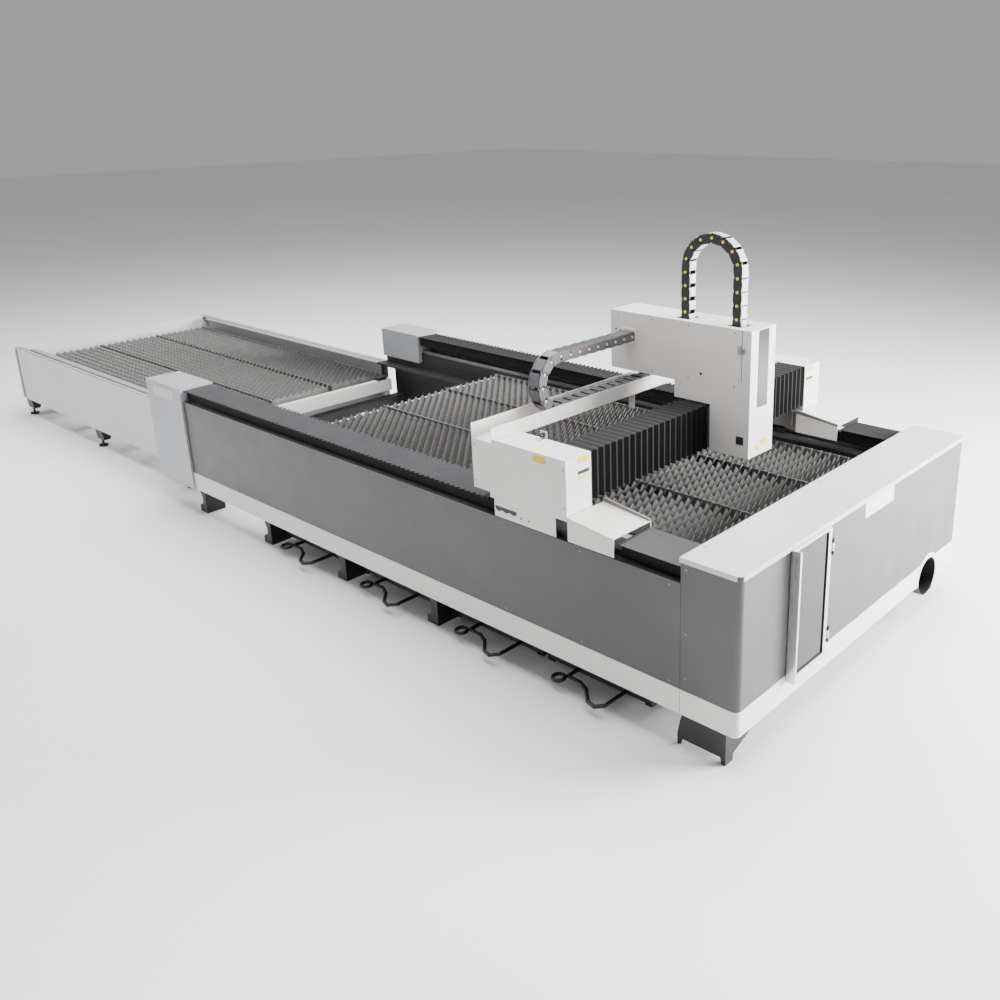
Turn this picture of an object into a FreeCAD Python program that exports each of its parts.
import FreeCAD, Part
import math
import os

import Sketcher

# A gantry laser cutter with a two-deck pallet exchange table.
# Frame: +X along the machine towards the bed's front cover, +Z up, the floor at z = 0,
# and the origin on the floor at the middle of the whole machine. Near side is -Y.

# Driving dimensions in millimetres, with what each one is.
DIMENSIONS = [
    ("front_face", 4150, "front face of the bed's front cover, along X"),
    ("cover_rear", 3842, "rear edge of the front cover"),
    ("panel_rear", -503, "rear end of the side panels"),
    ("cap_rear", -992, "rear face of the rear caps"),
    ("half_width", 1150, "side face of the panels from the middle plane"),
    ("skirt_bottom", 205, "lower edge of the skirt"),
    ("skirt_top", 333, "seam between skirt and panel"),
    ("panel_top", 857, "upper edge of the side panels"),
    ("cover_top", 982, "top of the front lid"),
    ("cap_top", 950, "top of the rear caps"),
    ("cap_inner", 917, "inner face of the rear caps"),
    ("cap_outer", 1165, "outer face of the rear caps"),
    ("skin", 3, "sheet thickness of covers"),
    ("corner_radius", 30, "rounded front corners"),
    ("flange", 45, "depth of the panels' folded flanges"),
    ("beam_inner", 955, "inner face of the bed's long box beams"),
    ("beam_outer", 1105, "outer face of the bed's long box beams"),
    ("beam_bottom", 240, "underside of the bed's long box beams"),
    ("beam_top", 790, "top of the bed's long box beams"),
    ("beam_rear", -900, "rear end of the bed's long box beams"),
    ("beam_front", 4080, "front end of the bed's long box beams"),
    ("beam_wall", 10, "wall of the bed's box beams"),
    ("track_top", 656, "cutting-level track that the pallets roll on"),
    ("track_inner", 838, "inner edge of tracks and shelves"),
    ("pallet_front", 3745, "front end of the pallet that is in the bed"),
    ("pallet_length", 3200, "pallet length"),
    ("pallet_half", 830, "half width of a pallet frame"),
    ("pallet_travel", 4540, "travel between bed and exchange table"),
    ("deck_step", 243, "height between the two decks"),
    ("tip_height", 848, "slat tips of the pallet at cutting level"),
    ("slat_bottom", 748, "lower edge of the slats"),
    ("slat_pitch", 61, "spacing of the slats"),
    ("slat_sheet", 3, "slat thickness"),
    ("tooth_pitch", 60, "spacing of the slat teeth"),
    ("tooth_depth", 32, "depth of the slat teeth"),
    ("wheel_radius", 43.7, "pallet wheel radius"),
    ("axle_height", 700, "wheel axle height at cutting level"),
    ("gantry_front", 3187, "front face of the gantry's end boxes"),
    ("gantry_rear", 2546, "rear face of the gantry's end boxes"),
    ("gantry_top", 1269, "top of the gantry's end boxes"),
    ("box_inner", 987, "inner face of the gantry's end boxes"),
    ("box_outer", 1161, "outer face of the gantry's end boxes"),
    ("carriage_near", -39, "near side of the carriage cover"),
    ("carriage_far", 193, "far side of the carriage cover"),
    ("carriage_front", 3450, "front face of the carriage cover"),
    ("carriage_rear", 2501, "rear face of the carriage cover"),
    ("carriage_top", 1708, "top of the carriage cover"),
    ("head_across", 77, "head axis, along Y"),
    ("head_along", 3271, "head axis, along X"),
    ("exchange_rear", -4200, "rear face of the exchange table"),
    ("exchange_half", 950, "side face of the exchange table"),
    ("exchange_top", 650, "top of the exchange table's side panels"),
]


class Dim:
    """A length together with the sheet expression that gives it."""

    def __init__(self, text, value):
        self.text = text
        self.value = value

    def __add__(self, other):
        other = dim(other)
        return Dim(f"({self.text} + {other.text})", self.value + other.value)

    def __sub__(self, other):
        other = dim(other)
        return Dim(f"({self.text} - {other.text})", self.value - other.value)

    def __mul__(self, number):
        return Dim(f"({self.text} * ({number}))", self.value * number)

    def __neg__(self):
        return self * -1

    def __radd__(self, other):
        return dim(other) + self

    def __rsub__(self, other):
        return dim(other) - self

    __rmul__ = __mul__


def dim(value):
    return value if isinstance(value, Dim) else Dim(f"({value})", value)


doc = FreeCAD.newDocument("laser_cutter")
sheet = doc.addObject("Spreadsheet::Sheet", "Size")
D = {}
for row, (alias, value, meaning) in enumerate(DIMENSIONS, start=1):
    sheet.set(f"A{row}", meaning)
    sheet.set(f"B{row}", str(value))
    sheet.setAlias(f"B{row}", alias)
    D[alias] = Dim(f"Size.{alias}", value)
doc.recompute()

NODES = {}
NEAR, FAR = -1, 1
SIDES = ((NEAR, "near"), (FAR, "far"))


# ---------------------------------------------------------------- helpers


def bind(thing, **sizes):
    for name, size in sizes.items():
        thing.setExpression(name.replace("_", "."), dim(size).text)


def node(name, thing):
    thing.Label = name
    NODES[name] = thing
    return thing


def span(side, inner, outer):
    """The Y range of a piece on one side, from its distances to the middle plane."""
    inner, outer = dim(inner), dim(outer)
    return (inner, outer) if side == FAR else (-outer, -inner)


def box(x, y, z):
    """A Part::Box from its three ranges."""
    thing = doc.addObject("Part::Box", "box")
    lows = [dim(r[0]) for r in (x, y, z)]
    sides = [dim(r[1]) - dim(r[0]) for r in (x, y, z)]
    bind(thing, Length=sides[0], Width=sides[1], Height=sides[2])
    bind(thing, Placement_Base_x=lows[0], Placement_Base_y=lows[1], Placement_Base_z=lows[2])
    return thing


TURNS = {
    "X": FreeCAD.Rotation(FreeCAD.Vector(0, 1, 0), 90),
    "Y": FreeCAD.Rotation(FreeCAD.Vector(1, 0, 0), -90),
    "Z": FreeCAD.Rotation(),
}


def rod(axis, start, length, radius):
    """A Part::Cylinder that starts at a point and runs along +X, +Y or +Z."""
    thing = doc.addObject("Part::Cylinder", "rod")
    thing.Placement.Rotation = TURNS[axis]
    bind(thing, Radius=radius, Height=length)
    bind(thing, Placement_Base_x=start[0], Placement_Base_y=start[1], Placement_Base_z=start[2])
    return thing


def cut(base, *tools):
    thing = doc.addObject("Part::Cut", "cut")
    thing.Base = base
    thing.Tool = tools[0] if len(tools) == 1 else fuse(*tools)
    return thing


def fuse(*pieces):
    thing = doc.addObject("Part::MultiFuse", "fuse")
    thing.Shapes = list(pieces)
    return thing


def group(*pieces):
    """Separate solids that share one node."""
    thing = doc.addObject("Part::Compound", "group")
    thing.Links = list(pieces)
    return thing


def tube(x, y, z, wall, along):
    """A rectangular tube: a box with a smaller one cut out of it along one axis."""
    ranges = []
    for axis, (low, high) in zip("XYZ", (x, y, z)):
        low, high = dim(low), dim(high)
        ranges.append((low, high) if axis == along else (low + wall, high - wall))
    return cut(box(x, y, z), box(*ranges))


PLANES = {"XY": "XY_Plane", "XZ": "XZ_Plane", "YZ": "YZ_Plane"}


def sketch_in(body, plane, points, level):
    """A closed outline on one of a body's origin planes, each corner held by two sizes."""
    sketch = body.newObject("Sketcher::SketchObject", "outline")
    origin = next(f for f in body.Origin.OriginFeatures if f.Role == PLANES[plane])
    sketch.AttachmentSupport = (origin, [""])
    sketch.MapMode = "FlatFace"
    level = -dim(level) if plane == "XZ" else dim(level)
    sketch.setExpression("AttachmentOffset.Base.z", level.text)
    corners = [(dim(u), dim(v)) for u, v in points]
    count = len(corners)
    for i in range(count):
        a, b = corners[i], corners[(i + 1) % count]
        start = FreeCAD.Vector(a[0].value, a[1].value, 0)
        end = FreeCAD.Vector(b[0].value, b[1].value, 0)
        sketch.addGeometry(Part.LineSegment(start, end), False)
    for i in range(count):
        sketch.addConstraint(Sketcher.Constraint("Coincident", i, 2, (i + 1) % count, 1))
    for i, (u, v) in enumerate(corners):
        for kind, size in (("DistanceX", u), ("DistanceY", v)):
            held = sketch.addConstraint(Sketcher.Constraint(kind, -1, 1, i, 1, size.value))
            sketch.setExpression(f"Constraints[{held}]", size.text)
    return sketch


def padded(plane, points, low, high):
    """A body with one pad: an outline run from low to high across its plane."""
    body = doc.addObject("PartDesign::Body", "body")
    low, high = dim(low), dim(high)
    sketch = sketch_in(body, plane, points, high if plane == "XZ" else low)
    pad = body.newObject("PartDesign::Pad", "pad")
    pad.Profile = sketch
    bind(pad, Length=high - low)
    body.Tip = pad
    return body


def pocketed(body, plane, points, low, high):
    """Cuts an outline out of a body between two levels."""
    low, high = dim(low), dim(high)
    sketch = sketch_in(body, plane, points, low if plane == "XZ" else high)
    pocket = body.newObject("PartDesign::Pocket", "pocket")
    pocket.Profile = sketch
    bind(pocket, Length=high - low)
    body.Tip = pocket
    return body


def rounded(body, radius, wanted):
    """Rounds the edges of a body for which wanted(edge) is true."""
    doc.recompute()
    tip = body.Tip
    names = [f"Edge{i + 1}" for i, e in enumerate(tip.Shape.Edges) if wanted(e)]
    fillet = body.newObject("PartDesign::Fillet", "fillet")
    fillet.Base = (tip, names)
    bind(fillet, Radius=radius)
    body.Tip = fillet
    return body


def turned(points, axis_point):
    """A body turned about a vertical line: points are (radius, height)."""
    body = doc.addObject("PartDesign::Body", "body")
    sketch = sketch_in(body, "XZ", points, 0)
    turn = body.newObject("PartDesign::Revolution", "revolution")
    turn.Profile = sketch
    turn.ReferenceAxis = (sketch, ["V_Axis"])
    turn.Angle = 360
    body.Tip = turn
    bind(body, Placement_Base_x=axis_point[0], Placement_Base_y=axis_point[1])
    return body


def rectangle(u, v):
    return [(u[0], v[0]), (u[1], v[0]), (u[1], v[1]), (u[0], v[1])]


def solid(shape):
    """A Part::Feature for a shape made with Part's own functions."""
    thing = doc.addObject("Part::Feature", "shape")
    thing.Shape = shape
    return thing


def vertical_at(x, margin=1.0):
    """True for a straight upright edge at this X."""

    def wanted(edge):
        ends = [v.Point for v in edge.Vertexes]
        if len(ends) != 2 or abs(ends[0].z - ends[1].z) < 50:
            return False
        return all(abs(p.x - x) < margin for p in ends)

    return wanted


# ---------------------------------------------------------------- bed

skin = D["skin"]
hw = D["half_width"]
cover_x = (D["cover_rear"], D["front_face"])
panel_x = (D["panel_rear"], D["cover_rear"])

CROSS_PLACES = (-850, 220, 1100, 1975, 2845)
CROSS_WIDTH = 100
CROSS_TOP = 390
FRONT_CROSS = (3770, 3830)


def bed_frame():
    pieces = []
    for side, _ in SIDES:
        long_beam = tube(
            (D["beam_rear"], D["beam_front"]),
            span(side, D["beam_inner"], D["beam_outer"]),
            (D["beam_bottom"], D["beam_top"]),
            D["beam_wall"],
            "X",
        )
        pieces.append(long_beam)
    across = (-D["beam_inner"], D["beam_inner"])
    for place in CROSS_PLACES:
        along = (place, place + CROSS_WIDTH)
        pieces.append(tube(along, across, (D["beam_bottom"], CROSS_TOP), 8, "Y"))
    pieces.append(tube(FRONT_CROSS, across, (D["beam_bottom"], D["beam_top"]), 8, "Y"))
    return fuse(*pieces)


def folded_panel(side, low, high):
    """A sheet panel with a flange folded inwards along its top and bottom."""
    outer, inner = side * hw, side * (hw - skin)
    flange = side * (hw - D["flange"])
    outline = [
        (outer, low),
        (outer, high),
        (flange, high),
        (flange, high - skin),
        (inner, high - skin),
        (inner, low + skin),
        (flange, low + skin),
        (flange, low),
    ]
    return padded("YZ", outline, *panel_x)


def corner_wall(low, high):
    """A U-shaped wall round the bed's front, with rounded corners."""
    rear, front = cover_x
    outline = [
        (rear, -hw),
        (front, -hw),
        (front, hw),
        (rear, hw),
        (rear, hw - skin),
        (front - skin, hw - skin),
        (front - skin, -(hw - skin)),
        (rear, -(hw - skin)),
    ]
    body = padded("XY", outline, low, high)
    rounded(body, D["corner_radius"], vertical_at(front.value))
    return rounded(body, D["corner_radius"] - skin, vertical_at((front - skin).value))


DOOR_Y = (-760, -422)
DOOR_Z = (304, 962)
DOOR_BAR = 28
DUCT_Y, DUCT_Z, DUCT_RADIUS = 790, 228, 113


def duct_hole():
    start = (D["front_face"] - 40, DUCT_Y, DUCT_Z)
    return rod("X", start, 60, DUCT_RADIUS + 1)


def front_cover():
    body = corner_wall(D["skirt_top"], D["cover_top"] - 4)
    hole_y = (DOOR_Y[0] + 15, DOOR_Y[1] - 13)
    hole_z = (D["skirt_top"] + 12, DOOR_Z[1] - 17)
    pocketed(body, "YZ", rectangle(hole_y, hole_z), D["front_face"] - 20, D["front_face"] + 5)
    return cut(body, duct_hole())


def front_lid():
    rim, drop = 2, 25
    front, rear = D["front_face"] + rim, D["cover_rear"] - 6
    outer = rectangle((rear, front), (-(hw + rim), hw + rim))
    body = padded("XY", outer, D["cover_top"] - drop, D["cover_top"])
    rounded(body, D["corner_radius"] + rim, vertical_at_front(front.value))
    inner = rectangle((rear - 5, front - rim), (-hw, hw))
    return pocketed(body, "XY", inner, D["cover_top"] - drop - 1, D["cover_top"] - skin)


def vertical_at_front(x):
    def wanted(edge):
        ends = [v.Point for v in edge.Vertexes]
        upright = len(ends) == 2 and abs(ends[0].z - ends[1].z) > 5
        return upright and all(abs(p.x - x) < 1 for p in ends)

    return wanted


def front_skirt():
    return cut(corner_wall(D["skirt_bottom"], D["skirt_top"] - 1), duct_hole())


def exhaust_duct():
    rear, front = 3834, D["front_face"] + 2
    start = (rear, DUCT_Y, DUCT_Z)
    length = front - rear
    return cut(rod("X", start, length, DUCT_RADIUS), rod("X", start, length, DUCT_RADIUS - 4))


def rear_cap(side):
    """A folded box over the end of a bed beam, open below and low on the inside."""
    y = span(side, D["cap_inner"], D["cap_outer"])
    x = (D["cap_rear"], D["panel_rear"] - 0.5)
    z = (D["skirt_bottom"], D["cap_top"])
    hollow = box(
        (x[0] + skin, x[1] - skin),
        (y[0] + skin, y[1] - skin),
        (z[0] - 5, z[1] - skin),
    )
    track_gap = D["track_top"] + 54
    way = box(
        (x[0] - 5, x[1] + 5),
        span(side, D["cap_inner"] - 5, D["beam_outer"] + 5),
        (z[0] - 5, track_gap),
    )
    beam_way = box(
        (x[1] - 5, x[1] + 5),
        span(side, D["beam_inner"] - 2, D["beam_outer"] + 2),
        (z[0] - 5, D["beam_top"] + 2),
    )
    return cut(box(x, y, z), hollow, way, beam_way)


RAIL_Y = (1045, 1075)
RAIL_TOP = 818
RACK_Y = (962, 984)
RACK_TOP = 815
RAIL_X = (-480, 3830)


def bellows(side, x):
    """A pleated cover over a rail, as the channel that holds its pleats."""
    inner, outer, low, high, wall = 912, 1142, 862, 940, 6
    outline = [
        (side * dim(inner), low),
        (side * dim(inner), high),
        (side * dim(outer), high - 8),
        (side * dim(outer), low),
        (side * dim(outer - wall), low),
        (side * dim(outer - wall), high - 8 - wall),
        (side * dim(inner + wall), high - wall),
        (side * dim(inner + wall), low),
    ]
    return padded("YZ", outline, *x)


FOOT_PLACES = (-487, 371, 1218, 2093)
FOOT_OUTER = 1100
FOOT_INNER = 960
PLATE = 12


def foot_bracket(side, place):
    """A bed foot: a floor plate, an upright plate with a toe and a cross plate."""
    reach = 95
    base = box((place - reach, place), span(side, FOOT_INNER, FOOT_OUTER), (0, PLATE))
    toe = [
        (place, 0),
        (place, D["beam_bottom"]),
        (place - 72, D["beam_bottom"]),
        (place - 64, 150),
        (place - 44, 112),
        (place - 48, 70),
        (place - reach, 44),
        (place - reach, 0),
    ]
    upright = padded("XZ", toe, *span(side, FOOT_OUTER - PLATE, FOOT_OUTER))
    web = [
        (side * dim(FOOT_OUTER), 0),
        (side * dim(FOOT_OUTER), D["beam_bottom"]),
        (side * dim(1040), D["beam_bottom"]),
        (side * dim(1040), 150),
        (side * dim(FOOT_INNER), 44),
        (side * dim(FOOT_INNER), 0),
    ]
    return fuse(base, upright, padded("YZ", web, place - PLATE, place))


def corner_foot(side):
    """The broad foot under a front corner, its cross plate shorter beside the duct."""
    rear, front = 3794, 4063
    inner = 832 if side == NEAR else 925
    arch = [
        (rear, 0),
        (rear + 16, 0),
        (rear + 26, 34),
        (front - 30, 34),
        (front - 20, 0),
        (front, 0),
        (front, D["beam_bottom"]),
        (rear + 50, D["beam_bottom"]),
        (rear + 14, 130),
        (rear, 60),
    ]
    upright = padded("XZ", arch, *span(side, FOOT_OUTER - PLATE, FOOT_OUTER))
    web = [
        (side * dim(FOOT_OUTER), 0),
        (side * dim(FOOT_OUTER), D["beam_bottom"]),
        (side * dim(inner), D["beam_bottom"] - 20),
        (side * dim(inner), 110),
        (side * dim(1040), 34),
        (side * dim(1040), 0),
    ]
    return fuse(upright, padded("YZ", web, front - PLATE, front))


def foot_brackets():
    feet = []
    for side, _ in SIDES:
        feet += [foot_bracket(side, place) for place in FOOT_PLACES]
        feet.append(corner_foot(side))
    return group(*feet)


DRAWER_PLACES = (745, 1610, 2475, 3215)
DRAWER_HALF = 340
DRAWER_DEPTH = 1000
DRAWER_Z = (47, 185)


def drawer_rails():
    """Angle rails that each slag drawer slides on, hung from the bed's beams."""
    rails = []
    gap, web, shelf, low = 3, 8, 38, 38
    for place in DRAWER_PLACES:
        for way in (-1, 1):
            inner = place + way * (DRAWER_HALF - shelf + gap)
            wall = place + way * (DRAWER_HALF + gap)
            outer = wall + way * web
            y = (-DRAWER_DEPTH, DRAWER_DEPTH)
            hung = box(sorted((wall, outer)), y, (low, D["beam_bottom"]))
            ledge = box(sorted((inner, outer)), y, (low, low + 6))
            rails.append(fuse(hung, ledge))
    return group(*rails)


def pallet_track(side):
    """The bed's track for the pallet wheels, an angle off the beam's inner face."""
    top, inner, thick, lip = D["track_top"], D["track_inner"], 16, 44
    outline = [
        (side * inner, top - thick),
        (side * inner, top),
        (side * (D["beam_inner"] - 8), top),
        (side * (D["beam_inner"] - 8), top + lip),
        (side * D["beam_inner"], top + lip),
        (side * D["beam_inner"], top - thick),
    ]
    return padded("YZ", outline, D["cap_rear"], 3760)


HINGE_X, HINGE_Y = 4168, -411
HINGE_LEVELS = (400, 860)
PIN_RADIUS = 4
KNUCKLE_RADIUS = 8


def door_hinges():
    """Fixed hinge leaves with their pins."""
    leaves = []
    for level in HINGE_LEVELS:
        pin = rod("Z", (HINGE_X, HINGE_Y, level - 40), 80, PIN_RADIUS)
        leaf = box((D["front_face"], HINGE_X - 6), (HINGE_Y + 2, HINGE_Y + 8), (level - 40, level + 40))
        plate = box((D["front_face"], D["front_face"] + 3), (HINGE_Y + 2, HINGE_Y + 30), (level - 40, level + 40))
        clear = rod("Z", (HINGE_X, HINGE_Y, level - 20.5), 41, KNUCKLE_RADIUS + 0.5)
        lower = rod("Z", (HINGE_X, HINGE_Y, level - 40), 19, KNUCKLE_RADIUS)
        upper = rod("Z", (HINGE_X, HINGE_Y, level + 21), 19, KNUCKLE_RADIUS)
        leaves.append(fuse(pin, cut(fuse(leaf, plate, lower, upper), clear)))
    return group(*leaves)


def door_frame():
    """The door's folded frame, with a deep pull rail along its free edge."""
    rear, thick, pull = D["front_face"] + 4, 14, 46
    body = padded("YZ", rectangle(DOOR_Y, DOOR_Z), rear, rear + thick)
    glass_y = (DOOR_Y[0] + DOOR_BAR, DOOR_Y[1] - DOOR_BAR)
    glass_z = (DOOR_Z[0] + 10, DOOR_Z[1] - 10)
    pocketed(body, "YZ", rectangle(glass_y, glass_z), rear - 2, rear + thick + 2)
    rail = box((rear, rear + pull), (DOOR_Y[0], DOOR_Y[0] + 14), DOOR_Z)
    knuckles = []
    holes = []
    for level in HINGE_LEVELS:
        arm = box((rear, rear + thick), (DOOR_Y[1] - 2, HINGE_Y), (level - 20, level + 20))
        barrel = rod("Z", (HINGE_X, HINGE_Y, level - 20), 40, KNUCKLE_RADIUS)
        knuckles += [arm, barrel]
        holes.append(rod("Z", (HINGE_X, HINGE_Y, level - 25), 50, PIN_RADIUS + 0.05))
    return cut(fuse(body, rail, *knuckles), *holes)


def door_glass():
    rear = D["front_face"] + 8
    y = (DOOR_Y[0] + DOOR_BAR, DOOR_Y[1] - DOOR_BAR)
    return box((rear, rear + 5), y, (DOOR_Z[0] + 10, DOOR_Z[1] - 10))


node("bed_frame", bed_frame())
node("side_panels", group(*[folded_panel(s, D["skirt_top"], D["panel_top"]) for s, _ in SIDES]))
node("skirts", group(*[folded_panel(s, D["skirt_bottom"], D["skirt_top"] - 1) for s, _ in SIDES]))
node("front_cover", front_cover())
node("front_lid", front_lid())
node("front_skirt", front_skirt())
node("rear_caps", group(*[rear_cap(s) for s, _ in SIDES]))
node("x_rails", group(*[box(RAIL_X, span(s, *RAIL_Y), (D["beam_top"], RAIL_TOP)) for s, _ in SIDES]))
node("x_racks", group(*[box(RAIL_X, span(s, *RACK_Y), (D["beam_top"], RACK_TOP)) for s, _ in SIDES]))
node("bellows_rear", group(*[bellows(s, (-500, 2690)) for s, _ in SIDES]))
node("bellows_front", group(*[bellows(s, (3480, 3835)) for s, _ in SIDES]))
node("foot_brackets", foot_brackets())
node("drawer_rails", drawer_rails())
node("pallet_tracks", group(*[pallet_track(s) for s, _ in SIDES]))
node("exhaust_duct", exhaust_duct())
node("door_hinges", door_hinges())
node("door_frame", door_frame())
node("door_glass", door_glass())


# ---------------------------------------------------------------- slag drawers

HANDLE_RADIUS = 10
HANDLE_HEIGHT = 62
HANDLE_BENDS = (
    (185, DRAWER_DEPTH - 2),
    (185, 1158),
    (150, 1198),
    (98, 1184),
    (22, 1112),
    (-42, 1084),
    (-132, 1080),
    (-132, DRAWER_DEPTH - 2),
)
HANDLE_EYE = (-160, 1118, 32)


def bent_rod(points, radius):
    """A round bar along straight runs, with a ball at each bend."""
    vectors = [FreeCAD.Vector(*p) for p in points]
    shape = None
    for a, b in zip(vectors, vectors[1:]):
        run = Part.makeCylinder(radius, (b - a).Length, a, b - a)
        shape = run if shape is None else shape.fuse(run)
    for corner in vectors[1:-1]:
        shape = shape.fuse(Part.makeSphere(radius, corner))
    return shape


def drawer_handle(side, place):
    """A pull bar at one end of a drawer, cranked, with an eye for a hook."""
    points = [(place + u, side * v, HANDLE_HEIGHT) for u, v in HANDLE_BENDS]
    bar = bent_rod(points, HANDLE_RADIUS)
    u, v, radius = HANDLE_EYE
    centre = FreeCAD.Vector(place + u, side * v, HANDLE_HEIGHT)
    eye = Part.makeTorus(radius, HANDLE_RADIUS, centre)
    return solid(bar.fuse(eye).removeSplitter())


def slag_drawer(place):
    """A folded pan with a pull bar at each end."""
    x = (place - DRAWER_HALF, place + DRAWER_HALF)
    y = (-(DRAWER_DEPTH - 3), DRAWER_DEPTH - 3)
    inner_x = (x[0] + 3, x[1] - 3)
    inner_y = (y[0] + 3, y[1] - 3)
    pan = cut(box(x, y, DRAWER_Z), box(inner_x, inner_y, (DRAWER_Z[0] + 3, DRAWER_Z[1] + 5)))
    handles = [cut(drawer_handle(side, place), box(x, y, DRAWER_Z)) for side, _ in SIDES]
    return group(pan, *handles)


for number, place in enumerate(DRAWER_PLACES, start=1):
    node(f"slag_drawer_{number}", slag_drawer(place))


# ---------------------------------------------------------------- gantry

SADDLE_X = (2700, 3150)
SADDLE_Y = (995, 1095)
SADDLE_Z = (853, 985)
BEAM_X = (3000, 3100)
BEAM_Z = (1025, 1215)
PINION_X = 2900
PINION_RADIUS = 27.7
PINION_Y = RACK_Y[1] + 0.3 + PINION_RADIUS
SHAFT_RADIUS = 10
BLOCK_LENGTH = 100
BLOCK_PLACES = (SADDLE_X[0] + 10, SADDLE_X[1] - 110)


def gantry_saddle(side):
    """The cast saddle on the rail's blocks, with an upright that takes the beam's end."""
    base = box(SADDLE_X, span(side, *SADDLE_Y), SADDLE_Z)
    upright = box((BEAM_X[0] - 15, BEAM_X[1] + 10), span(side, *SADDLE_Y), (SADDLE_Z[0] + 20, 1250))
    hole = rod("Z", (PINION_X, side * dim(PINION_Y), SADDLE_Z[0] - 5), 200, SHAFT_RADIUS + 0.05)
    return cut(fuse(base, upright), hole)


def slide_block(side, place):
    """A carriage block that wraps over the rail."""
    body = box((place, place + BLOCK_LENGTH), span(side, 1030, 1090), (RAIL_TOP - 20, SADDLE_Z[0]))
    groove = box(
        (place - 1, place + BLOCK_LENGTH + 1),
        span(side, RAIL_Y[0] - 0.4, RAIL_Y[1] + 0.4),
        (RAIL_TOP - 30, RAIL_TOP + 0.4),
    )
    return cut(body, groove)


def slide_blocks():
    blocks = []
    for side, _ in SIDES:
        blocks += [slide_block(side, place) for place in BLOCK_PLACES]
    return group(*blocks)


def x_pinion(side):
    start = (PINION_X, side * dim(PINION_Y))
    disc = rod("Z", (*start, D["beam_top"] + 4), 22, PINION_RADIUS)
    shaft = rod("Z", (*start, D["beam_top"] + 26), 215, SHAFT_RADIUS)
    return fuse(disc, shaft)


def x_motor(side):
    """A servo motor offset on its gearbox, standing on the saddle."""
    low = SADDLE_Z[1]
    y = span(side, 992, 1078)
    gearbox = box((PINION_X - 50, PINION_X + 50), y, (low, low + 90))
    motor = rod("Z", (PINION_X, side * dim(1035), low + 90), 150, 40)
    hole = rod("Z", (PINION_X, side * dim(PINION_Y), low - 5), 55, SHAFT_RADIUS + 0.5)
    return cut(fuse(gearbox, motor), hole)


TRAY_X = (2546.5, 2692.5)
TRAY_Z = (1245.5, 1324)
BOX_PROFILE = (
    (641, 1269),
    (641, 968),
    (565, 968),
    (565, 868),
    (145, 868),
    (145, 960),
    (118, 960),
    (118, 988),
    (0, 988),
    (0, 1245),
    (147, 1245),
    (147, 1269),
)


def gantry_end(side):
    """A folded cover over the gantry's end: top, ends, outside and inside walls."""
    rear = D["gantry_rear"]
    outline = [(rear + u, dim(v)) for u, v in BOX_PROFILE]
    inner_y = span(side, D["box_inner"] + skin, D["box_outer"] - skin)
    whole_y = span(side, D["box_inner"], D["box_outer"])
    body = padded("XZ", outline, *whole_y)
    front, top = D["gantry_front"], D["gantry_top"]
    room = [
        (front - skin, top - skin),
        (front - skin, 860),
        (rear + 148, 860),
        (rear + 148, 957),
        (rear + 121, 957),
        (rear + 121, 980),
        (rear + skin, 980),
        (rear + skin, 1245 - skin),
        (rear + 147 + skin, 1245 - skin),
        (rear + 147 + skin, top - skin),
    ]
    pocketed(body, "XZ", room, *inner_y)
    window = rectangle((2980, 3130), (1000, 1258))
    low_way = rectangle((rear + 148, rear + 562), (860, 985))
    inner_wall = span(side, D["box_inner"] - 2, D["box_inner"] + skin + 1)
    pocketed(body, "XZ", window, *inner_wall)
    return pocketed(body, "XZ", low_way, *inner_wall)


def ramp_shoe(side):
    """The sloping cover ahead of an end box, over the start of the front bellows."""
    rear, front, low = 3192, 3476, 872
    outline = [(rear, low), (rear, 992), (front, 964), (front, low)]
    y = span(side, 895, D["cap_outer"])
    inner_y = (y[0] + skin, y[1] - skin)
    body = padded("XZ", outline, *y)
    room = [
        (rear + 3, low - 5),
        (rear + 3, 988),
        (front + 5, 960),
        (front + 5, low - 5),
    ]
    return pocketed(body, "XZ", room, *inner_y)


def cable_tray():
    """A trough for the cross chain that rests on the rear steps of both end covers."""
    rear, front = TRAY_X
    low, high = TRAY_Z
    outline = [
        (rear, low),
        (front, low),
        (front, high),
        (front - 3, high),
        (front - 3, low + 3),
        (rear + 3, low + 3),
        (rear + 3, high),
        (rear, high),
    ]
    return padded("XZ", outline, -D["box_outer"], D["box_outer"])


def y_rails():
    """Two rails on the beam's front face and the rack on its top."""
    across = (-960, 960)
    rails = [box((BEAM_X[1], BEAM_X[1] + 18), across, (z, z + 22)) for z in (1045, 1170)]
    rack = box((3010, 3034), across, (BEAM_Z[1], BEAM_Z[1] + 24))
    return group(*rails, rack)


def gantry_beam():
    across = (-D["box_inner"] - 8, D["box_inner"] + 8)
    return tube(BEAM_X, across, BEAM_Z, 8, "Y")


BELLOWS_X = (2990, 3184)
BELLOWS_Z = (1015, 1268)


def beam_bellows(across):
    """A pleated sleeve round the beam, as the box tube that holds its pleats."""
    return tube(BELLOWS_X, across, BELLOWS_Z, 6, "Y")


LINK_HEIGHT = 57
CROSS_CHAIN_X = (2597, 2683)
CROSS_CHAIN_BEND = (-643, 1438, 139)
CROSS_CHAIN_ENDS = (-86, 150)


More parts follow.
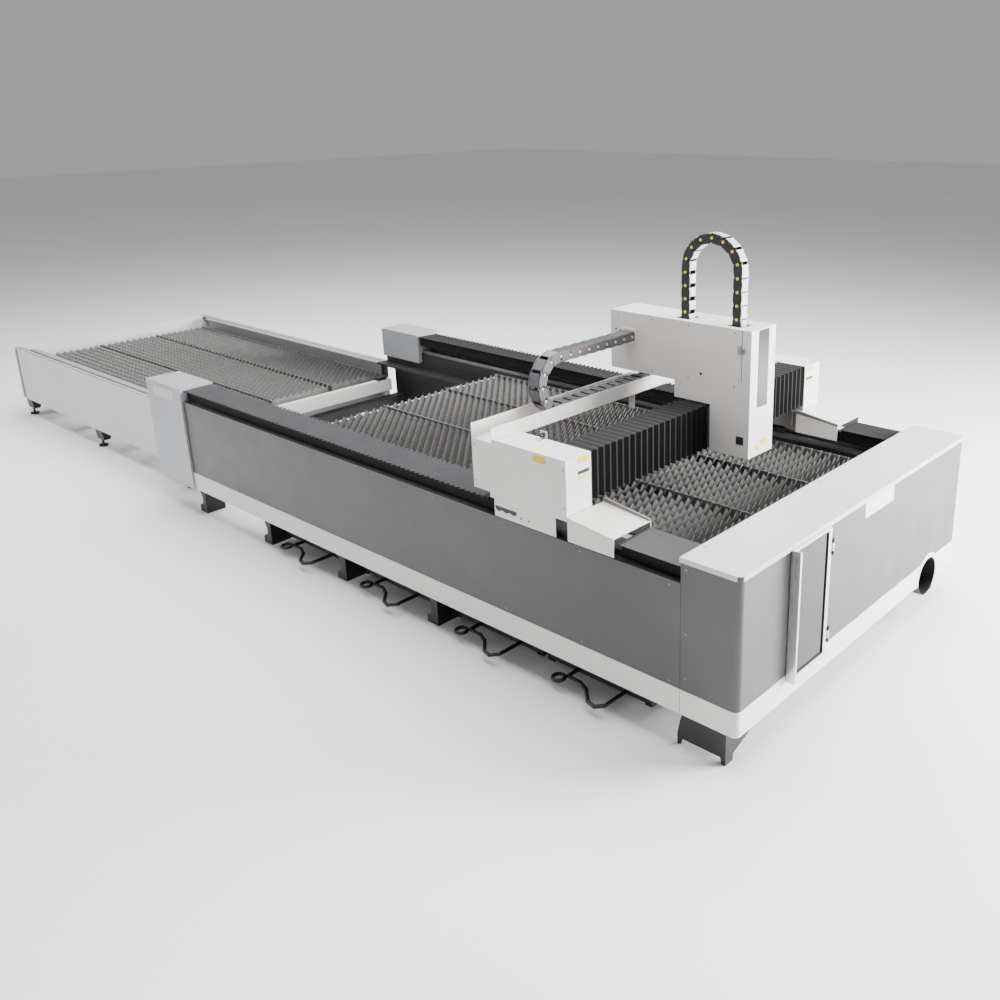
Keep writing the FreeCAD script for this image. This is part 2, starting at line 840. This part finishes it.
def y_chain():
    """The cross chain: a half ring between an upper run and a lower run in the tray."""
    y, z, radius = CROSS_CHAIN_BEND
    half = LINK_HEIGHT / 2
    width = CROSS_CHAIN_X[1] - CROSS_CHAIN_X[0]
    outer = rod("X", (CROSS_CHAIN_X[0], y, z), width, radius + half)
    inner = rod("X", (CROSS_CHAIN_X[0], y, z), width, radius - half)
    front_half = box(CROSS_CHAIN_X, (y, y + 2 * radius), (z - 2 * radius, z + 2 * radius))
    ring = cut(outer, inner, front_half)
    upper = box(CROSS_CHAIN_X, (y, CROSS_CHAIN_ENDS[0]), (z + radius - half, z + radius + half))
    lower = box(CROSS_CHAIN_X, (y, CROSS_CHAIN_ENDS[1]), (z - radius - half, z - radius + half))
    return fuse(ring, upper, lower)


node("gantry_beam", gantry_beam())
node("gantry_saddles", group(*[gantry_saddle(s) for s, _ in SIDES]))
node("gantry_end_near", gantry_end(NEAR))
node("gantry_end_far", gantry_end(FAR))
node("ramp_shoes", group(*[ramp_shoe(s) for s, _ in SIDES]))
node("cable_tray", cable_tray())
node("y_rails", y_rails())
node("x_slide_blocks", slide_blocks())
node("x_drive_motors", group(*[x_motor(s) for s, _ in SIDES]))
node("x_pinion_near", x_pinion(NEAR))
node("x_pinion_far", x_pinion(FAR))
node("beam_bellows_near", beam_bellows((-984, D["carriage_near"] - 1)))
node("beam_bellows_far", beam_bellows((D["carriage_far"] + 1, 984)))
node("y_chain", y_chain())


# ---------------------------------------------------------------- carriage

NECK_X = 3198
STEP_X = 2958
COVER_LOW = (1373, 1276, 1016)
CHAIN_Y = (18, 85)
CHAIN_BEND = (3148, 1981, 168)
CHAIN_LOW = 1600


def carriage_cover():
    """The tall folded cover over beam and tray, open below, with slots for the chain."""
    front, rear, top = D["carriage_front"], D["carriage_rear"], D["carriage_top"]
    near, far = D["carriage_near"], D["carriage_far"]
    outline = [
        (rear, COVER_LOW[0]),
        (STEP_X, COVER_LOW[0]),
        (STEP_X, COVER_LOW[1]),
        (NECK_X, COVER_LOW[1]),
        (NECK_X, COVER_LOW[2]),
        (front, COVER_LOW[2]),
        (front, top),
        (rear, top),
    ]
    body = padded("XZ", outline, near, far)
    room = [
        (rear + skin, COVER_LOW[0] + 3),
        (STEP_X + 3, COVER_LOW[0] + 3),
        (STEP_X + 3, COVER_LOW[1] - 5),
        (NECK_X - 5, COVER_LOW[1] - 5),
        (NECK_X - 5, COVER_LOW[2] - 5),
        (front - skin, COVER_LOW[2] - 5),
        (front - skin, top - skin),
        (rear + skin, top - skin),
    ]
    pocketed(body, "XZ", room, near + skin, far - skin)
    x, _, radius = CHAIN_BEND
    for run in (x - radius, x + radius):
        slot = rectangle((run - 46, run + 46), (CHAIN_Y[0] - 14, CHAIN_Y[1] + 14))
        pocketed(body, "XY", slot, top - 10, top + 5)
    return body


def carriage_window():
    """A dark strip let into the front of the cover."""
    front = D["carriage_front"]
    return box((front, front + 2), (31, 127), (1285, 1702))


Y_PINION_RADIUS = 25
Y_PINION = (3034.3 + Y_PINION_RADIUS, 77)
PLATE_Y = (-28, 182)
SADDLE_FACE = 3205
HEAD_RAILS = ((15, 27), (127, 139))


def carriage_saddle():
    """The saddle box with its rail blocks, the head's plate and rails, and the motor's arm."""
    core = tube((3122, SADDLE_FACE), PLATE_Y, (1020, 1255), 12, "Z")
    plate = box((SADDLE_FACE - 12, SADDLE_FACE), PLATE_Y, (1020, 1580))
    arm = box((3000, 3193), (7, 147), (1250, 1268))
    blocks = []
    for z in (1045, 1170):
        block = box((3104, 3122), (-23, 177), (z - 16, z + 38))
        groove = box((3100, 3118.4), (-28, 182), (z - 0.4, z + 22.4))
        blocks.append(cut(block, groove))
    rails = [box((SADDLE_FACE, SADDLE_FACE + 10), y, (1020, 1450)) for y in HEAD_RAILS]
    hole = rod("Z", (*Y_PINION, 1245), 40, SHAFT_RADIUS + 0.05)
    return cut(fuse(core, plate, arm, *blocks, *rails), hole)


def y_pinion():
    disc = rod("Z", (*Y_PINION, BEAM_Z[1] + 1), 22, Y_PINION_RADIUS)
    shaft = rod("Z", (*Y_PINION, BEAM_Z[1] + 23), 62, SHAFT_RADIUS)
    return fuse(disc, shaft)


SCREW_X = SADDLE_FACE + 11
SCREW_RADIUS = 5


def carriage_motors():
    """The cross drive's motor above its arm and the lift motor above the screw."""
    drive = fuse(
        box((3015, 3105), (32, 122), (1268, 1355)),
        rod("Z", (*Y_PINION, 1355), 150, 40),
    )
    hole = rod("Z", (*Y_PINION, 1260), 50, SHAFT_RADIUS + 0.5)
    lift = box((SADDLE_FACE, SADDLE_FACE + 60), (47, 107), (1460, 1565))
    socket = rod("Z", (SCREW_X, D["head_across"], 1450), 55, 6.5)
    return group(cut(drive, hole), cut(lift, socket))


def z_screw():
    return rod("Z", (SCREW_X, D["head_across"], 1175), 315, SCREW_RADIUS)


def chain_bracket():
    """The bracket on the cover's side that takes the cross chain's upper end."""
    near = D["carriage_near"]
    foot = box((2590, 2690), (near - 6, near), (1540, 1614))
    arm = box((2590, 2690), (CROSS_CHAIN_ENDS[0] + 0.5, near - 6), (1543.5, 1548))
    return fuse(foot, arm)


def z_chain():
    """The head's chain: a half ring on two upright runs that enter the cover."""
    x, z, radius = CHAIN_BEND
    half = LINK_HEIGHT / 2
    width = CHAIN_Y[1] - CHAIN_Y[0]
    outer = rod("Y", (x, CHAIN_Y[0], z), width, radius + half)
    inner = rod("Y", (x, CHAIN_Y[0], z), width, radius - half)
    below = box((x - 2 * radius, x + 2 * radius), CHAIN_Y, (z - 2 * radius, z))
    runs = []
    for centre in (x - radius, x + radius):
        runs.append(box((centre - half, centre + half), CHAIN_Y, (CHAIN_LOW, z)))
    return fuse(cut(outer, inner, below), *runs)


node("carriage_cover", carriage_cover())
node("carriage_window", carriage_window())
node("carriage_saddle", carriage_saddle())
node("carriage_motors", carriage_motors())
node("y_pinion", y_pinion())
node("z_screw", z_screw())
node("chain_bracket", chain_bracket())
node("z_chain", z_chain())


# ---------------------------------------------------------------- cutting head

HEAD_X, HEAD_Y = D["head_along"], D["head_across"]
HEAD_RADIUS = 30


def head_slide():
    """The plate that carries the head, with rail blocks, a nut lug and two clamps."""
    back = SADDLE_FACE + 19
    plate = box((back, back + 8), (2, 152), (1110, 1440))
    clamps = [box((back + 8, back + 31), (37, 117), (z, z + 40)) for z in (1150, 1230)]
    hole = rod("Z", (HEAD_X, HEAD_Y, 1100), 400, HEAD_RADIUS)
    blocks = []
    for low, high in HEAD_RAILS:
        for z in (1175, 1355):
            block = box((SADDLE_FACE + 3, back), (low - 8, high + 8), (z, z + 60))
            groove = box((SADDLE_FACE, SADDLE_FACE + 10.4), (low - 0.4, high + 0.4), (z - 1, z + 61))
            blocks.append(cut(block, groove))
    lug = box((SADDLE_FACE + 0.5, back), (57, 97), (1335, 1375))
    nut = rod("Z", (SCREW_X, HEAD_Y, 1300), 100, SCREW_RADIUS + 0.05)
    return fuse(cut(fuse(plate, *clamps), hole), cut(lug, nut), *blocks)


def cutting_head():
    """The head's barrel: collimator, focus housing and lens drawer collar."""
    outline = [
        (0, 1080),
        (16, 1080),
        (22, 1098),
        (HEAD_RADIUS, 1105),
        (HEAD_RADIUS, 1290),
        (24, 1300),
        (24, 1430),
        (18, 1440),
        (0, 1440),
    ]
    return turned(outline, (HEAD_X, HEAD_Y))


def nozzle():
    """The copper nozzle, with its ceramic ring above it."""
    outline = [(1.5, 1018), (4, 1018), (9, 1033), (14, 1039), (14, 1079.5), (1.5, 1079.5)]
    return turned(outline, (HEAD_X, HEAD_Y))


node("head_slide", head_slide())
node("cutting_head", cutting_head())
node("nozzle", nozzle())


# ---------------------------------------------------------------- pallets

END_BAR = 60
CROSS_TUBES = 5
COMB_PLACES = (-770, -278, 278, 770)
COMB_SHEET = 6
COMB_NOTCH = 42
COMB_DROP = 12
WHEEL_INSET = 250
WHEEL_Y = (840, 872)
AXLE_RADIUS = 12


def pallet_frame(front, drop):
    """A welded frame with end bars, cross tubes and axle stubs."""
    rear = front - D["pallet_length"]
    half = D["pallet_half"]
    low = 690 - drop
    tube_top = low + 100
    pieces = [box((rear, front), span(s, half - 45, half), (low, tube_top)) for s, _ in SIDES]
    across = (-half + 10, half - 10)
    for start in (rear, front - END_BAR):
        pieces.append(box((start, start + END_BAR), across, (low, tube_top)))
    gap = (D["pallet_length"].value - 2 * END_BAR) / (CROSS_TUBES + 1)
    for i in range(CROSS_TUBES):
        place = rear + (END_BAR + gap * (i + 1) - 30)
        pieces.append(box((place, place + 60), across, (low, D["slat_bottom"] - drop)))
    for inset in (WHEEL_INSET, D["pallet_length"].value - WHEEL_INSET):
        for side, _ in SIDES:
            start = half - 10 if side == FAR else -half + 10 - (WHEEL_Y[1] + 4 - 820)
            stub = rod("Y", (rear + inset, start, D["axle_height"] - drop), WHEEL_Y[1] + 4 - 820, AXLE_RADIUS)
            pieces.append(stub)
    return fuse(*pieces)


def slat_places(rear):
    """Where the slats stand along a pallet."""
    room = D["pallet_length"].value - 2 * END_BAR
    pitch = D["slat_pitch"].value
    count = int((room - 30) // pitch)
    first = rear + END_BAR + (room - (count - 1) * pitch) / 2
    return [first + i * pitch for i in range(count)]


def comb_bars(rear, drop):
    """Upright bars along the pallet, slotted from above where each slat crosses."""
    low, high = D["slat_bottom"].value - drop, D["tip_height"].value - drop - COMB_DROP
    floor = low + COMB_NOTCH
    start, end = rear + END_BAR, rear + D["pallet_length"].value - END_BAR
    half = D["slat_sheet"].value / 2 + 0.3
    outline = [(end, high), (end, low), (start, low), (start, high)]
    for x in slat_places(rear):
        outline += [(x - half, high), (x - half, floor), (x + half, floor), (x + half, high)]
    bars = []
    for y in COMB_PLACES:
        face = flat_face([(x, y - COMB_SHEET / 2, z) for x, z in outline])
        bars.append(face.extrude(FreeCAD.Vector(0, COMB_SHEET, 0)))
    return Part.makeCompound(bars)


def flat_face(points):
    vectors = [FreeCAD.Vector(*p) for p in points]
    return Part.Face(Part.makePolygon(vectors + vectors[:1]))


def slats(front, drop):
    """Toothed slats across the pallet, each notched over the slotted comb bars."""
    rear = (front - D["pallet_length"]).value
    drop = drop.value
    low, high = D["slat_bottom"].value - drop, D["tip_height"].value - drop
    valley = high - D["tooth_depth"].value
    half = D["pallet_half"].value - 50
    pitch = D["tooth_pitch"].value
    teeth = int(2 * half // pitch)
    edge = -teeth * pitch / 2
    outline = [(half, valley), (half, low)]
    notch_top = low + COMB_NOTCH - 0.5
    for y in sorted(COMB_PLACES, reverse=True):
        side = COMB_SHEET / 2 + 0.3
        outline += [(y + side, low), (y + side, notch_top), (y - side, notch_top), (y - side, low)]
    outline += [(-half, low), (-half, valley)]
    for i in range(teeth):
        outline += [(edge + i * pitch, valley), (edge + (i + 0.5) * pitch, high)]
    outline.append((edge + teeth * pitch, valley))
    sheet_thickness = D["slat_sheet"].value
    profile = flat_face([(0, y, z) for y, z in outline]).extrude(FreeCAD.Vector(sheet_thickness, 0, 0))
    row = []
    for x in slat_places(rear):
        slat = profile.copy()
        slat.translate(FreeCAD.Vector(x - sheet_thickness / 2, 0, 0))
        row.append(slat)
    return group(solid(Part.makeCompound(row)), solid(comb_bars(rear, drop)))


def wheel_pair(front, drop, inset):
    """Two flanged-bore wheels on one axis, one at each side."""
    place = front - D["pallet_length"] + inset
    wheels = []
    for side, _ in SIDES:
        low = WHEEL_Y[0] if side == FAR else -WHEEL_Y[1]
        width = WHEEL_Y[1] - WHEEL_Y[0]
        height = D["axle_height"] - drop
        disc = rod("Y", (place, low, height), width, D["wheel_radius"])
        bore = rod("Y", (place, low - 1, height), width + 2, AXLE_RADIUS + 0.05)
        wheels.append(cut(disc, bore))
    return group(*wheels)


PALLETS = (
    ("a", D["pallet_front"], dim(0)),
    ("b", D["pallet_front"] - D["pallet_travel"], D["deck_step"]),
)
for letter, front, drop in PALLETS:
    node(f"pallet_{letter}_frame", pallet_frame(front, drop))
    node(f"pallet_{letter}_slats", slats(front, drop))
    node(f"wheels_{letter}_rear", wheel_pair(front, drop, WHEEL_INSET))
    node(f"wheels_{letter}_front", wheel_pair(front, drop, D["pallet_length"] - WHEEL_INSET))


# ---------------------------------------------------------------- exchange table

LIFT_X = (-3985, -1000)
LIFT_OUTER = 890
SHELF = 12
PINION_SHAFT_X = -1500
LIFT_PINION_RADIUS = 30
LIFT_SHAFT_Z = 350


def lift_side(side):
    """One side of the lifting frame: a web with an upper and a lower wheel shelf."""
    top = D["track_top"]
    lower = top - D["deck_step"]
    outline = [
        (side * D["track_inner"], top),
        (side * dim(LIFT_OUTER), top),
        (side * dim(LIFT_OUTER), 325),
        (side * dim(LIFT_OUTER - 8), 325),
        (side * dim(LIFT_OUTER - 8), lower - SHELF),
        (side * D["track_inner"], lower - SHELF),
        (side * D["track_inner"], lower),
        (side * dim(LIFT_OUTER - 8), lower),
        (side * dim(LIFT_OUTER - 8), top - SHELF),
        (side * D["track_inner"], top - SHELF),
    ]
    return padded("YZ", outline, *LIFT_X)


def lift_frame():
    """Both sides joined by cross beams under the lower deck, with the drive racks."""
    pieces = [lift_side(side) for side, _ in SIDES]
    for place in (-3900, -2960, -2020, -1120):
        pieces.append(box((place, place + 80), (-LIFT_OUTER + 5, LIFT_OUTER - 5), (325, 400)))
    rack_front = PINION_SHAFT_X - LIFT_PINION_RADIUS - 0.3
    for side, _ in SIDES:
        rack = box((rack_front - 20, rack_front), span(side, LIFT_OUTER - 1, LIFT_OUTER + 11), (20, 385))
        pieces.append(rack)
    return fuse(*pieces)


def lift_shaft():
    """The cross shaft with a pinion at each end."""
    low = -(LIFT_OUTER + 11)
    start = (PINION_SHAFT_X, low, LIFT_SHAFT_Z - 70)
    shaft = rod("Y", (PINION_SHAFT_X, -925, LIFT_SHAFT_Z - 70), 1850, 14)
    discs = [rod("Y", start, 11, LIFT_PINION_RADIUS)]
    discs.append(rod("Y", (PINION_SHAFT_X, LIFT_OUTER, LIFT_SHAFT_Z - 70), 11, LIFT_PINION_RADIUS))
    return fuse(shaft, *discs)


def exchange_base():
    """The fixed base: long tubes, cross tubes, lift guides and bearings."""
    x = (D["exchange_rear"] + 72, D["cap_rear"] - 4)
    pieces = []
    for side, _ in SIDES:
        pieces.append(tube(x, span(side, 904, 944), (160, 250), 4, "X"))
        for place in (-3850, -1230):
            pieces.append(box((place, place + 60), span(side, 896, 940), (240, 640)))
    for place in (-4100, -3300, -2400, -1330):
        pieces.append(tube((place, place + 80), (-906, 906), (160, 240), 4, "Y"))
    height = LIFT_SHAFT_Z - 70
    bearings = []
    for side, _ in SIDES:
        block = box((PINION_SHAFT_X - 30, PINION_SHAFT_X + 30), span(side, 906, 922), (height - 40, height + 30))
        bearings.append(block)
    hole = rod("Y", (PINION_SHAFT_X, -960, height), 1920, 14.05)
    return cut(fuse(*pieces, *bearings), hole)


def exchange_panel(side):
    """A sheet side with its top folded inwards as a walk-on rail."""
    outer, inner = side * D["exchange_half"], side * (D["exchange_half"] - 3)
    top, low = D["exchange_top"], 165
    lip = side * (D["exchange_half"] - 57)
    outline = [
        (outer, low),
        (outer, top),
        (lip, top),
        (lip, top - 14),
        (side * (D["exchange_half"] - 54), top - 14),
        (side * (D["exchange_half"] - 54), top - 3),
        (inner, top - 3),
        (inner, low),
    ]
    return padded("YZ", outline, D["exchange_rear"] + 70.5, D["cap_rear"] - 2)


def exchange_end():
    """The box beam that closes the table's rear end, as high as the side panels."""
    x = (D["exchange_rear"], D["exchange_rear"] + 70)
    return tube(x, (-D["exchange_half"], D["exchange_half"]), (165, D["exchange_top"]), 4, "Y")


EXCHANGE_FEET = (-4140, -2640, -1090)


def exchange_foot(side, place):
    """A bracket under the base with a levelling pad on a stud."""
    y = span(side, 820, 940)
    web = [
        (side * dim(940), 160),
        (side * dim(820), 160),
        (side * dim(880), 70),
        (side * dim(930), 70),
    ]
    bracket = padded("YZ", web, place - 40, place + 88)
    stud = rod("Z", (place, side * dim(905), 12), 60, 10)
    pad = rod("Z", (place, side * dim(905), 0), 14, 38)
    return fuse(bracket, stud, pad)


def exchange_feet():
    feet = []
    for side, _ in SIDES:
        feet += [exchange_foot(side, place) for place in EXCHANGE_FEET]
    return group(*feet)


node("lift_frame", lift_frame())
node("lift_shaft", lift_shaft())
node("exchange_base", exchange_base())
node("exchange_panels", group(*[exchange_panel(s) for s, _ in SIDES], exchange_end()))
node("exchange_feet", exchange_feet())


# ---------------------------------------------------------------- check and write

doc.recompute()
for thing in doc.Objects:
    if "Invalid" in thing.State or "Error" in thing.State:
        raise RuntimeError(f"{thing.Label} ({thing.TypeId}) failed: {thing.State}")
for body in doc.Objects:
    if body.TypeId != "PartDesign::Body":
        continue
    features = [f for f in body.Group if hasattr(f, "Shape") and f.TypeId.startswith("PartDesign")]
    volumes = [f.Shape.Volume for f in features]
    for feature, before, after in zip(features[1:], volumes, volumes[1:]):
        if "Pocket" in feature.TypeId and not after < before - 1:
            raise RuntimeError(f"{feature.Name} in {body.Label} cuts nothing")
os.makedirs("parts", exist_ok=True)
for name, thing in NODES.items():
    shape = thing.Shape
    if shape.isNull() or not shape.isValid() or not shape.Solids:
        raise RuntimeError(f"{name} has no valid shape")
    shape.exportStep(f"parts/{name}.step")
    print(name, len(shape.Solids), round(shape.Volume / 1e6, 2), "litres")
print(len(NODES), "nodes")
